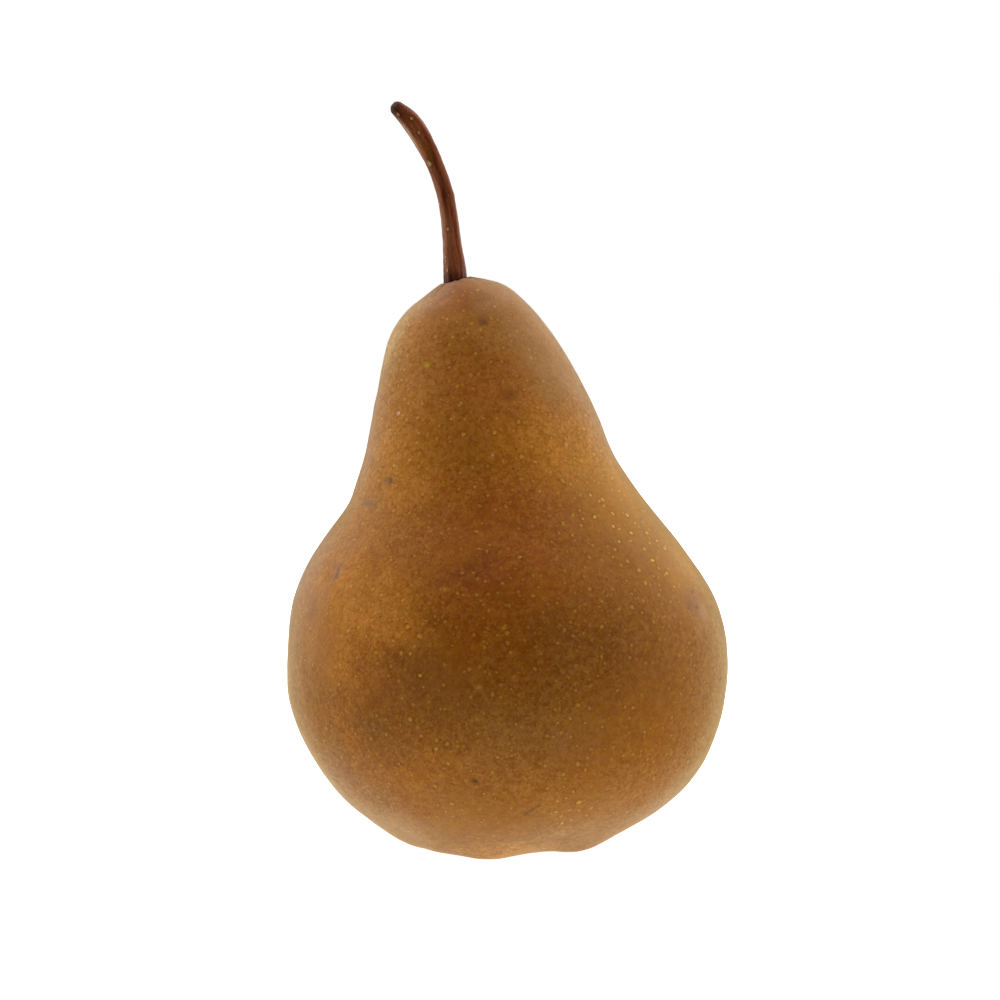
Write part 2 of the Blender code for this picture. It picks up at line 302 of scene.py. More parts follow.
def grid_object(name, points, rings, sides, caps, uv_rows=None):
    """An object from rings of points, with a vertex at each end, a UV map and smooth shading."""
    quads, uvs = [], []
    rows = np.linspace(0, 1, rings) if uv_rows is None else uv_rows
    j = np.arange(sides)
    k = (j + 1) % sides
    for i in range(rings - 1):
        a, b = i * sides, (i + 1) * sides
        quads.append(np.stack([a + j, a + k, b + k, b + j], axis=1))
        u0, u1 = j / sides, (j + 1) / sides
        v0, v1 = np.full(sides, rows[i]), np.full(sides, rows[i + 1])
        uvs.append(np.stack([u0, v0, u1, v0, u1, v1, u0, v1], axis=1))
    quads = np.concatenate(quads)
    uvs = np.concatenate(uvs).reshape(-1, 2)
    low, high = rings * sides, rings * sides + 1
    triangles = []
    extra = []
    last = (rings - 1) * sides
    for i in range(sides):
        n = (i + 1) % sides
        triangles.append((n, i, low))
        extra += [((i + 1) / sides, 0.0), (i / sides, 0.0), ((i + 0.5) / sides, 0.0)]
        triangles.append((last + i, last + n, high))
        extra += [(i / sides, 1.0), ((i + 1) / sides, 1.0), ((i + 0.5) / sides, 1.0)]
    triangles = np.array(triangles)

    mesh = bpy.data.meshes.new(name)
    mesh.vertices.add(len(points))
    mesh.vertices.foreach_set("co", (points * MM).astype(np.float32).ravel())
    loops = np.concatenate([quads.ravel(), triangles.ravel()]).astype(np.int32)
    mesh.loops.add(len(loops))
    mesh.loops.foreach_set("vertex_index", loops)
    starts = np.concatenate(
        [4 * np.arange(len(quads)), 4 * len(quads) + 3 * np.arange(len(triangles))]
    ).astype(np.int32)
    mesh.polygons.add(len(starts))
    mesh.polygons.foreach_set("loop_start", starts)
    mesh.update(calc_edges=True)
    mesh.validate()
    layer = mesh.uv_layers.new(name="OFBake")
    both = np.concatenate([uvs, np.array(extra)])
    both = both * np.array([0.998, 0.998]) + 0.001
    layer.data.foreach_set("uv", both.astype(np.float32).ravel())
    mesh.shade_smooth()
    made = bpy.data.objects.new(name, mesh)
    bpy.context.scene.collection.objects.link(made)
    return made


def build_stem(middle):
    """The stem with its ribs, its groove and the swollen, slanting scar where it left the twig."""
    table = np.array(STEM) + np.array([0, LEAN_BACK, 0, 0])
    knots = np.concatenate(
        [[0], np.cumsum(np.linalg.norm(np.diff(table[:, :3], axis=0), axis=1))]
    )
    long = knots[-1]
    at = np.linspace(0, long, STEM_RINGS)
    read = smooth_curve(knots, table, at)
    centres, radii = read[:, :3], read[:, 3]
    ways = np.gradient(centres, at, axis=0)
    ways /= np.linalg.norm(ways, axis=1, keepdims=True)

    turn = math.pi / 2 + np.linspace(0, 2 * math.pi, STEM_SIDES, endpoint=False)
    across = np.array([1.0, 0.0, 0.0])
    rings, unbent = [], []
    for i in range(STEM_RINGS):
        way = ways[i]
        across = across - way * across.dot(way)
        across /= np.linalg.norm(across)
        other = np.cross(way, across)
        share = at[i] / long
        ends = min(1.0, 5 * share) * min(1.0, 14 * (1 - share))
        mid = math.exp(-(((at[i] - 20.5) / 4.6) ** 2))
        twist = 0.05 * at[i]
        swell = (
            0.026 * np.cos(4 * turn + 2.2 * share)
            + 0.014 * np.cos(7 * (turn + twist) + 1.0)
            + 0.007 * np.cos(13 * (turn + twist) + 3.1 * math.sin(0.7 * at[i]))
        ) * ends
        # The groove lies on the front, right of the middle, along the upper half.
        gap = np.angle(np.exp(1j * (turn - math.radians(-72))))
        swell = swell - (0.085 * mid + 0.015) * ends * np.exp(-((gap / 0.30) ** 2))
        # The base is pleated where it widens into the fruit.
        base = math.exp(-(((at[i] - 3.4) / 2.4) ** 2))
        swell = swell + base * (0.022 * np.cos(9 * turn + 0.5) + 0.014 * np.cos(15 * turn))
        kink = 0.07 * math.exp(-(((at[i] - 17.2) / 0.8) ** 2)) * np.exp(
            -((np.angle(np.exp(1j * turn)) / 0.8) ** 2)
        )
        r = radii[i] * (1 + swell + kink)
        ring = centres[i] + np.outer(r * np.cos(turn), across) + np.outer(r * np.sin(turn), other)
        rings.append(ring)
        unbent.append(
            np.stack([r * np.cos(turn), r * np.sin(turn), np.full(STEM_SIDES, at[i])], axis=1)
        )
    # Bark relief along the grain.
    rings, unbent = np.array(rings), np.array(unbent)
    grain = unbent * np.array([1.0, 1.0, 0.16])
    bark = 0.035 * soft_noise(grain, 0.55, (2.0, 3.3, 1.1)) + 0.03 * soft_noise(unbent, 1.3, (7.0, 5.0, 2.0))
    outward = rings - centres[:, None, :]
    outward /= np.maximum(np.linalg.norm(outward, axis=2, keepdims=True), 1e-6)
    for angle, along, size, height in STEM_MARKS:
        gap = np.angle(np.exp(1j * (turn[None, :] - math.radians(angle)))) * 1.5
        near = (gap / size) ** 2 + ((at[:, None] - along) / (1.35 * size)) ** 2
        bark = bark + height * np.exp(-(near**1.5))
    rings = rings + outward * bark[:, :, None]

    # The end is rounded over like a thumb, with a small dimple where it left the twig.
    tip, way = rings[-1], ways[-1]
    centre = tip.mean(axis=0)
    high = STEM[-1][3]
    extra, extra_flat = [], []
    for f in np.linspace(0, 1, 31)[1:]:
        a = f * math.pi / 2
        shrink = max(math.cos(a), 0.0) ** 0.92 if f < 1 else 0.02
        rise = high * (1.02 * math.sin(a) - 0.13 * window(f, 0.72, 1.0))
        rise += 0.05 * math.sin(9 * f) * f
        ring = centre + (tip - centre) * shrink + way * rise
        uneven = 0.035 * np.cos(3 * turn + 1.0) + 0.02 * np.cos(7 * turn)
        ring = ring + np.outer(uneven * math.sin(math.pi * f), way)
        extra.append(ring)
        extra_flat.append(unbent[-1] * np.array([shrink, shrink, 1.0]) + np.array([0, 0, rise]))
    everything = np.concatenate([rings.reshape(-1, 3), np.concatenate(extra)])
    flat = np.concatenate([unbent.reshape(-1, 3), np.concatenate(extra_flat)])
    count = STEM_RINGS + len(extra)
    start = rings[0].mean(axis=0)[None, :]
    end = extra[-1].mean(axis=0)[None, :]
    points = np.concatenate([everything, start, end])
    flat = np.concatenate([flat, [[0, 0, 0]], [[0, 0, long + 0.2]]])
    points[:, :2] -= middle[None, :2]
    made = grid_object("pear_stem", points, count, STEM_SIDES, caps=(True, True))
    layer = made.data.attributes.new("unbent", "FLOAT_VECTOR", "POINT")
    layer.data.foreach_set("vector", flat.astype(np.float32).ravel())
    return made, long


# Lenticels on the stem: angle round it in degrees (-90 is the front), place along it, size and
# height in mm.
STEM_MARKS = (
    (-115, 33.4, 0.30, 0.08),
    (-71, 31.4, 0.25, 0.07),
    (-89, 28.8, 0.28, 0.08),
    (-121, 23.5, 0.42, 0.09),
    (-68, 17.5, 0.24, 0.06),
    (-148, 16.2, 0.26, 0.07),
    (-107, 11.9, 0.26, 0.07),
    (-140, 7.3, 0.27, 0.08),
    (-141, 6.5, 0.25, 0.07),
    (-128, 5.0, 0.26, 0.07),
    (-118, 4.0, 0.20, 0.05),
    (40, 25.0, 0.28, 0.08),
    (100, 14.0, 0.26, 0.07),
    (75, 21.0, 0.24, 0.06),
    (20, 8.5, 0.28, 0.08),
    (150, 29.0, 0.26, 0.07),
    (60, 30.5, 0.24, 0.06),
)


def build_calyx(floor_z, middle):
    """Five dry curled sepals round a short tube with the stubs of the stamens."""
    mesh = bmesh.new()

    def blob(rings, close=True):
        made = [[mesh.verts.new(Vector(p) * MM) for p in ring] for ring in rings]
        for low, high in zip(made, made[1:]):
            for i in range(len(low)):
                n = (i + 1) % len(low)
                mesh.faces.new((low[i], low[n], high[n], high[i]))
        if close:
            mesh.faces.new(made[0][::-1])
            mesh.faces.new(made[-1])

    sides = 72
    angle = np.linspace(0, 2 * math.pi, sides, endpoint=False)
    wavy = 1 + 0.05 * np.cos(5 * (angle - RIB_TURN)) + 0.02 * np.cos(13 * angle)
    # The tube, a wall with an inside and an outside.
    wall = []
    for r, dz in (
        (CALYX_RADIUS - 0.75, 1.3), (CALYX_RADIUS - 0.05, 1.3), (CALYX_RADIUS, 0.6), (CALYX_RADIUS + 0.02, 0.0),
        (CALYX_RADIUS + 0.06, -0.45), (CALYX_RADIUS - 0.05, -0.75), (CALYX_RADIUS - 0.28, -0.8),
        (CALYX_RADIUS - 0.5, -0.6), (CALYX_RADIUS - 0.65, 0.0), (CALYX_RADIUS - 0.8, 0.7),
    ):
        wall.append(
            [(r * w * math.cos(a), r * w * math.sin(a), floor_z + dz + 0.06 * math.cos(9 * a + r)) for a, w in zip(angle, wavy)]
        )
    blob(wall)
    # Sepals: each is a closed blade, folded along its middle and curled back at its tip.
    for k in range(SEPALS):
        base = RIB_TURN + 2 * math.pi * k / SEPALS
        length = 3.3 + 0.35 * math.sin(2.3 * k + 0.4)
        curl = 0.9 + 0.5 * math.sin(1.7 * k + 1.0)
        rings = []
        for f in np.linspace(0, 1, 26):
            width = 1.28 * (1 - f) ** 0.62 * (1 + 0.9 * f * (1 - f)) + 0.03
            width *= 1 + 0.06 * math.sin(21 * f + k)
            thick = 0.15 * (1 - f) + 0.05
            out = CALYX_RADIUS - 0.15 + length * (f - 0.10 * curl * f**3)
            drop = -0.75 - 0.55 * math.sin(f * 1.9) - 0.35 * f + 0.95 * curl * f**3
            ring = []
            n = 14
            for m in range(n):
                b = 2 * math.pi * m / n
                across = width * math.cos(b)
                fold = 0.28 * abs(across) * (1 - 0.4 * f) + 0.05 * math.sin(8 * across + 5 * f + k)
                up = thick * math.sin(b) + drop + fold
                ring.append(
                    (
                        out * math.cos(base) - across * math.sin(base),
                        out * math.sin(base) + across * math.cos(base),
                        floor_z + up,
                    )
                )
            rings.append(ring)
        blob(rings)
    # Stubs of the stamens and the styles.
    for k in range(17):
        a = 2.399963 * k + 0.3
        r = 0.25 + 1.15 * math.sqrt((k + 0.5) / 17)
        lean = 0.5 + 0.3 * math.sin(3.1 * k)
        rings = []
        for f in np.linspace(0, 1, 8):
            cx = (r - 0.45 * f * lean) * math.cos(a + 0.5 * f)
            cy = (r - 0.45 * f * lean) * math.sin(a + 0.5 * f)
            cz = floor_z + 1.25 - (1.7 + 0.5 * math.sin(1.9 * k)) * f
            width = 0.10 + (0.07 if f > 0.85 else 0.0) - 0.03 * f
            rings.append(
                [(cx + width * math.cos(b), cy + width * math.sin(b), cz) for b in np.linspace(0, 2 * math.pi, 8, endpoint=False)]
            )
        blob(rings)
    for vertex in mesh.verts:
        vertex.co.x -= middle[0] * MM
        vertex.co.y -= middle[1] * MM
    bmesh.ops.recalc_face_normals(mesh, faces=mesh.faces[:])
    data = bpy.data.meshes.new("pear_calyx")
    mesh.to_mesh(data)
    mesh.free()
    data.shade_smooth()
    data.set_sharp_from_angle(angle=math.radians(50))
    made = bpy.data.objects.new("pear_calyx", data)
    bpy.context.scene.collection.objects.link(made)
    return made


# ========================================================================================== nodes
class Graph:
    """Short names for the shader nodes that the materials here are made of."""

    def __init__(self, name):
        self.material = bpy.data.materials.new(name)
        self.material.use_nodes = True
        self.tree = self.material.node_tree
        self.shader = self.tree.nodes["Principled BSDF"]

    def put(self, socket, value):
        if isinstance(value, bpy.types.NodeSocket):
            self.tree.links.new(value, socket)
        elif value is not None:
            if isinstance(value, tuple) and len(value) == 3 and socket.type == "RGBA":
                value = (*value, 1.0)
            socket.default_value = value

    def node(self, kind, **settings):
        made = self.tree.nodes.new(kind)
        for key, value in settings.items():
            setattr(made, key, value)
        return made

    def math(self, kind, a, b=None, c=None, clamp=False):
        made = self.node("ShaderNodeMath", operation=kind, use_clamp=clamp)
        for socket, value in zip(made.inputs, (a, b, c)):
            self.put(socket, value)
        return made.outputs[0]

    def vector(self, kind, a, b=None, scale=None):
        made = self.node("ShaderNodeVectorMath", operation=kind)
        self.put(made.inputs[0], a)
        if b is not None:
            self.put(made.inputs[1], b)
        if scale is not None:
            self.put(made.inputs["Scale"], scale)
        return made.outputs["Value"] if kind in ("LENGTH", "DISTANCE", "DOT_PRODUCT") else made.outputs[0]

    def fit(self, value, low, high, to_low=0.0, to_high=1.0, kind="SMOOTHSTEP"):
        made = self.node("ShaderNodeMapRange", interpolation_type=kind, clamp=True)
        for socket, v in zip(made.inputs, (value, low, high, to_low, to_high)):
            self.put(socket, v)
        return made.outputs[0]

    def mix(self, factor, a, b, blend="MIX"):
        made = self.node("ShaderNodeMix", data_type="RGBA", blend_type=blend)
        made.clamp_factor = True
        self.put(made.inputs[0], factor)
        self.put(made.inputs[6], a)
        self.put(made.inputs[7], b)
        return made.outputs[2]

    def noise(self, vector, size, detail=2.0, rough=0.5, warp=0.0, colour=False):
        made = self.node("ShaderNodeTexNoise")
        self.put(made.inputs["Vector"], vector)
        made.inputs["Scale"].default_value = 1.0 / size
        made.inputs["Detail"].default_value = detail
        made.inputs["Roughness"].default_value = rough
        made.inputs["Distortion"].default_value = warp
        return made.outputs["Color" if colour else "Fac"]

    def cells(self, vector, size, feature="F1", random=1.0):
        made = self.node("ShaderNodeTexVoronoi", feature=feature)
        self.put(made.inputs["Vector"], vector)
        made.inputs["Scale"].default_value = 1.0 / size
        made.inputs["Randomness"].default_value = random
        return made

    def spots(self, vector, facing, spacing):
        """For round spots on a surface: how far the nearest spot's middle is along the surface, in
        mm, and three random numbers for that spot."""
        made = self.cells(vector, spacing)
        away = self.vector("SUBTRACT", vector, made.outputs["Position"])
        through = self.vector("DOT_PRODUCT", away, facing)
        away = self.vector("SUBTRACT", away, self.vector("SCALE", facing, scale=through))
        return self.vector("LENGTH", away), self.split(made.outputs["Color"])

    def split(self, vector):
        made = self.node("ShaderNodeSeparateXYZ")
        self.put(made.inputs[0], vector)
        return made.outputs

    def join(self, x, y, z):
        made = self.node("ShaderNodeCombineXYZ")
        for socket, value in zip(made.inputs, (x, y, z)):
            self.put(socket, value)
        return made.outputs[0]

    def bump(self, height, distance, strength=1.0, normal=None):
        made = self.node("ShaderNodeBump")
        self.put(made.inputs["Height"], height)
        made.inputs["Distance"].default_value = distance
        made.inputs["Strength"].default_value = strength
        self.put(made.inputs["Normal"], normal)
        return made.outputs[0]

    def millimetres(self):
        here = self.node("ShaderNodeTexCoord").outputs["Object"]
        return self.vector("SCALE", here, scale=1000.0)

    def patch(self, p, centre, radii, edge=0.0):
        """1 at centre (mm), falling smoothly to 0 at the ellipsoid with these radii."""
        away = self.vector("SUBTRACT", p, centre)
        away = self.vector("MULTIPLY", away, tuple(1.0 / r for r in radii))
        far = self.vector("LENGTH", away)
        return self.fit(far, 1.0, edge)


    def stroke(self, p, start, end, width):
        """1 on the straight line from start to end (mm), falling smoothly to 0 at this width."""
        along = tuple(b - a for a, b in zip(start, end))
        square = sum(v * v for v in along)
        off = self.vector("SUBTRACT", p, start)
        share = self.math("DIVIDE", self.vector("DOT_PRODUCT", off, along), square, clamp=True)
        off = self.vector("SUBTRACT", off, self.vector("SCALE", along, scale=share))
        return self.fit(self.vector("LENGTH", off), width, width * 0.15)


def linear(r, g, b):
    """An sRGB colour given as 0 to 255, as the linear values that shaders take."""
    return tuple(
        (v / 12.92 if v <= 0.04045 else ((v + 0.055) / 1.055) ** 2.4)
        for v in (r / 255, g / 255, b / 255)
    )


# ====================================================================================== materials
GROUND = (176, 105, 8)
UNDERSIDE = (183, 130, 65)
# Areas where the colour of the skin drifts, a few of them painted highlights and painted floor light: what
# the area is, its centre and radii in mm, and the sRGB colour that it drifts to.
TINTS = (
    ("tan, right of the neck", (7, -8, 84), (15, 18, 25), (197, 139, 78)),
    ("gold, left of the neck", (-14, -12, 84), (12, 16, 18), (215, 140, 61)),
    ("gold, middle of the neck", (5, -15, 69), (14, 14, 15), (230, 145, 41)),
    ("gold, right of the waist", (18, -10, 65), (13, 18, 20), (218, 141, 18)),
    ("yellow, left of the waist", (-18, -12, 66), (13, 18, 18), (214, 134, 26)),
    ("brown, over the belly", (-2, -27, 57), (24, 18, 17), (177, 89, 8)),
    ("dark brown, middle of belly", (0, -33, 43), (24, 18, 17), (171, 88, 9)),
    ("pink, left shoulder", (-31, -14, 49), (12, 20, 17), (197, 120, 39)),
    ("orange, left of the belly", (-23, -24, 42), (16, 20, 18), (220, 134, 24)),
    ("olive, left of the belly", (-14, -34, 31), (20, 18, 12), (163, 95, 37)),
    ("olive, right of the belly", (14, -32, 36), (22, 18, 14), (162, 95, 34)),
    ("pinkish tan, crown", (-9, -3, 94), (12, 12, 8), (144, 50, 12)),
    # Partly the pink skin by the stem, partly a painted highlight on the lip right of the stem.
    ("pink skin and painted highlight, right of the crown", (-1, -4, 94.5), (12, 12, 6.5), (202, 145, 88)),
    # Partly pink skin, partly a painted highlight on the rim left of the crown.
    ("pink skin and painted highlight, left of the crown", (-14.8, -2, 91.5), (6, 9, 6), (204, 146, 94)),
    ("orange-brown, front of neck", (-4, -14, 77), (13, 13, 13), (206, 120, 44)),
    ("tan, right shoulder", (31, -12, 52), (13, 18, 14), (214, 136, 26)),
    ("tan, low on the left", (-24, -20, 12), (18, 18, 11), (166, 107, 53)),
    # Painted highlight: the pale rim left of the crown stands for light from behind and above.
    ("painted highlight, left rim of the crown", (-19, -3, 85), (7, 12, 12), (220, 170, 92)),
    ("brown, low on the belly", (2, -32, 22), (24, 18, 12), (175, 114, 49)),
    # Painted light: the pale patch at the front of the base stands for light thrown up from the floor.
    ("painted floor light, front of the base", (1, -17, 0.0), (20, 14, 4.6), (228, 175, 104)),
    ("gold, left of the neck's foot", (-13, -22, 64), (9, 12, 8), (210, 128, 30)),
    ("orange, left of the middle", (-18, -29, 41), (10, 12, 8), (220, 137, 44)),
    ("dark brown, over the middle", (-5, -31, 49), (9, 12, 6), (148, 68, 8)),
    ("dark olive, low on the left", (-20, -29, 23), (9, 12, 7), (149, 90, 20)),
    ("brown, low on the waist", (-28, -12, 58), (8, 14, 7), (198, 120, 22)),
    ("tan, back of the neck", (-6, 15, 86), (15, 16, 17), (196, 130, 62)),
    ("gold, back of the waist", (-2, 22, 65), (20, 18, 17), (200, 128, 34)),
    ("orange, right at the back", (27, 22, 45), (18, 20, 20), (194, 118, 30)),
    ("red-brown, left at the back", (-20, 28, 41), (18, 18, 16), (160, 86, 24)),
    ("olive, low at the back", (6, 34, 27), (24, 18, 12), (163, 94, 18)),
)


# Lenticels that stand out on the front of the pear: radius in mm, how strong they are, and where
# they are, as (x, z) in mm.
LENTICELS = (
    (0.42, 1.0, (
        (19.5, 56.9), (20.1, 54.2), (22.8, 53.9), (24.5, 52.5), (25.8, 51.2), (23.6, 49.8),
        (17.1, 57.4), (17.1, 55.4), (18.0, 53.2), (21.2, 48.6), (25.9, 47.7), (22.2, 46.7),
        (14.1, 57.1), (-0.5, 40.9), (-0.1, 40.0), (-6.2, 34.3), (-5.9, 88.0),
    )),
    (0.38, 0.88, (
        (17.3, 52.1), (11.8, 56.0), (8.9, 56.5), (13.1, 51.2), (17.0, 51.0), (19.3, 50.2),
        (22.3, 51.6), (23.2, 52.4), (13.0, 46.4), (16.9, 46.2), (11.9, 60.5), (13.5, 60.4),
        (14.9, 59.4), (17.4, 63.3), (15.6, 63.2), (18.3, 60.5), (16.1, 66.2), (12.9, 62.3),
        (31.9, 45.1), (24.4, 44.7), (-4.9, 48.2), (-0.8, 47.6), (12.9, 32.5), (15.5, 34.9),
        (-5.9, 29.9), (0.2, 44.3), (-20.3, 45.2), (-23.6, 42.8), (-10.0, 46.6), (-18.7, 47.4),
        (9.0, 71.2), (12.0, 65.7), (-2.1, 70.6), (-6.0, 79.8), (-9.9, 88.7), (-4.4, 87.1),
        (-4.6, 31.5), (-4.9, 24.1), (8.5, 23.9),
    )),
    (0.33, 0.75, (
        (14.9, 62.1), (11.3, 62.7), (22.3, 57.0), (20.8, 55.6), (20.0, 53.1), (18.1, 55.0),
        (12.2, 56.9), (13.7, 52.9), (10.8, 53.7), (9.5, 52.2), (9.1, 49.3), (9.1, 47.5),
        (24.5, 46.1), (21.8, 44.0), (17.8, 43.1), (14.9, 44.5), (25.0, 41.3), (10.7, 43.2),
        (12.4, 49.7), (15.3, 50.5), (-7.3, 92.5), (-6.0, 92.8), (-7.3, 90.0), (1.5, 86.7),
        (-8.9, 85.9), (-7.3, 85.6), (3.5, 83.8), (3.8, 82.5), (-9.6, 78.8), (-7.3, 78.2),
        (5.8, 78.7), (-19.5, 77.7), (-16.8, 75.7), (-13.8, 75.2), (-7.9, 75.0), (-9.2, 72.8),
        (-1.7, 72.8), (-0.8, 66.2), (12.0, 71.3), (-14.8, 68.8), (-11.2, 70.8), (-21.3, 42.4),
        (-18.0, 42.6), (-23.9, 40.0), (-28.6, 39.7), (-29.3, 41.5), (-19.6, 54.8), (-10.3, 44.5),
        (-16.1, 42.4), (-13.7, 62.6), (-12.1, 60.5), (-10.7, 55.0), (-7.2, 49.7), (-3.6, 47.9),
        (2.4, 48.2), (1.8, 45.8), (-3.0, 43.4), (-7.1, 45.8), (-3.6, 37.8), (0.5, 36.9),
        (5.3, 36.8), (-10.0, 34.9), (-3.6, 33.8), (-10.0, 27.9), (4.3, 40.0), (2.7, 38.8),
    )),
)

# Scars, bruises and stains: what each is, its middle as (x, z) on the front, its radii, its sRGB
# colour and how strong it is, in mm.
SCARS = (
    ("scuff on the waist", (-19.5, 62.4), (2.6, 3.2, 1.4), (130, 82, 44), 0.45),
    ("its dark middle", (-19.1, 62.6), (0.75, 1.4, 0.75), (84, 50, 34), 0.62),
    ("its tail", (-21.0, 61.7), (0.8, 1.6, 0.9), (112, 70, 48), 0.45),
    ("bruise under it", (-22.8, 58.8), (3.2, 3.6, 1.4), (168, 116, 84), 0.45),
    ("halo of the left scratch", (-27.8, 48.4), (2.4, 3.6, 4.0), (182, 124, 92), 0.40),
    ("blush over it", (-25.6, 52.4), (2.2, 3.4, 3.2), (188, 122, 84), 0.35),
    ("stain, left", (-31.8, 41.5), (2.2, 4.0, 3.4), (152, 92, 66), 0.45),
    ("second stain, left", (-29.4, 44.6), (1.8, 3.2, 3.6), (184, 116, 74), 0.40),
    ("right scuff", (30.6, 42.8), (3.0, 4.8, 5.4), (172, 108, 76), 0.62),
    ("its pale side", (32.0, 40.6), (1.7, 3.4, 3.6), (206, 158, 118), 0.45),
    ("its dark edge", (29.6, 42.4), (1.3, 2.8, 2.8), (138, 80, 52), 0.50),
    ("its upper dot", (30.3, 44.3), (0.6, 1.3, 0.6), (120, 74, 46), 0.65),
    ("its lower dots", (30.9, 41.9), (0.9, 1.5, 0.5), (104, 64, 44), 0.60),
    ("dark spot, low", (-5.2, 15.9), (0.95, 1.6, 0.7), (56, 38, 20), 0.72),
    ("speck at the right edge", (35.1, 29.5), (0.5, 1.4, 0.45), (60, 40, 30), 0.80),
    ("red mark on the neck", (0.5, 76.6), (2.4, 4.0, 1.4), (132, 58, 28), 0.50),
    ("dark mark on the neck", (-4.0, 88.2), (1.5, 3.0, 1.0), (84, 52, 40), 0.60),
    ("yellow spot on the neck", (-13.2, 81.3), (0.95, 2.0, 0.66), (222, 186, 48), 0.85),
    ("white speck", (-17.8, 73.4), (0.46, 2.0, 0.40), (246, 226, 198), 0.75),
    ("white dust by it", (-17.2, 73.1), (0.34, 2.0, 0.24), (232, 204, 164), 0.50),
    ("pink speck", (-2.4, 67.1), (0.34, 2.0, 0.34), (240, 190, 160), 0.90),
    ("gold patch on the flank", (-10.0, 46.6), (1.3, 2.0, 0.75), (214, 150, 40), 0.60),
    ("gold patch, belly", (-4.6, 31.5), (1.1, 2.0, 0.60), (210, 150, 60), 0.60),
    ("dark dot, belly", (4.3, 28.6), (0.5, 2.0, 0.42), (60, 36, 16), 0.55),
    ("dark dot under it", (4.3, 27.2), (0.5, 2.0, 0.42), (60, 36, 16), 0.55),
    ("scuff, back", (14.0, 49.0), (3.2, 3.0, 1.9), (118, 76, 42), 0.45),
    ("pale patch, back", (-19.0, 58.0), (5.5, 5.0, 6.5), (212, 158, 92), 0.35),
    ("dark spot, back", (-11.0, 21.0), (0.9, 1.6, 0.75), (56, 36, 22), 0.75),
    ("small dark spot, back", (4.0, 78.0), (0.8, 1.6, 0.6), (70, 42, 26), 0.65),
    ("bruise, back", (9.0, 31.0), (4.5, 3.5, 3.2), (122, 72, 30), 0.40),
)
# Scratches: from and to, as (x, z), then width, colour and strength.
SCRATCHES = (
    ("line on the waist", (-23.4, 58.6), (-21.4, 58.4), 0.66, (114, 92, 76), 0.38),
    ("left scratch", (-27.2, 48.9), (-27.8, 47.5), 0.60, (104, 84, 90), 0.60),
    ("foot of the left scratch", (-27.8, 47.4), (-28.1, 47.0), 0.74, (104, 80, 84), 0.50),
    ("low scratch", (2.8, 9.9), (3.7, 10.5), 0.62, (100, 68, 48), 0.52),
    ("end of the low scratch", (3.9, 10.6), (5.1, 11.7), 0.40, (108, 74, 52), 0.42),
    ("hair line on the belly", (-8.0, 20.5), (-6.2, 21.6), 0.26, (104, 62, 26), 0.40),
    ("graze, back", (9.0, 58.0), (12.0, 60.5), 0.45, (110, 78, 52), 0.55),
)


def on_skin(fruit, x, z, side=-1.0):
    """The point on the front of the fruit (or the back, for side 1) at x and z, in mm."""
    hit, place, _, _ = fruit.ray_cast(Vector((x, 80.0 * side, z)) * MM, Vector((0.0, -side, 0.0)))
    if not hit:
        raise ValueError("no skin at %.1f, %.1f" % (x, z))
    return tuple(v / MM for v in place)


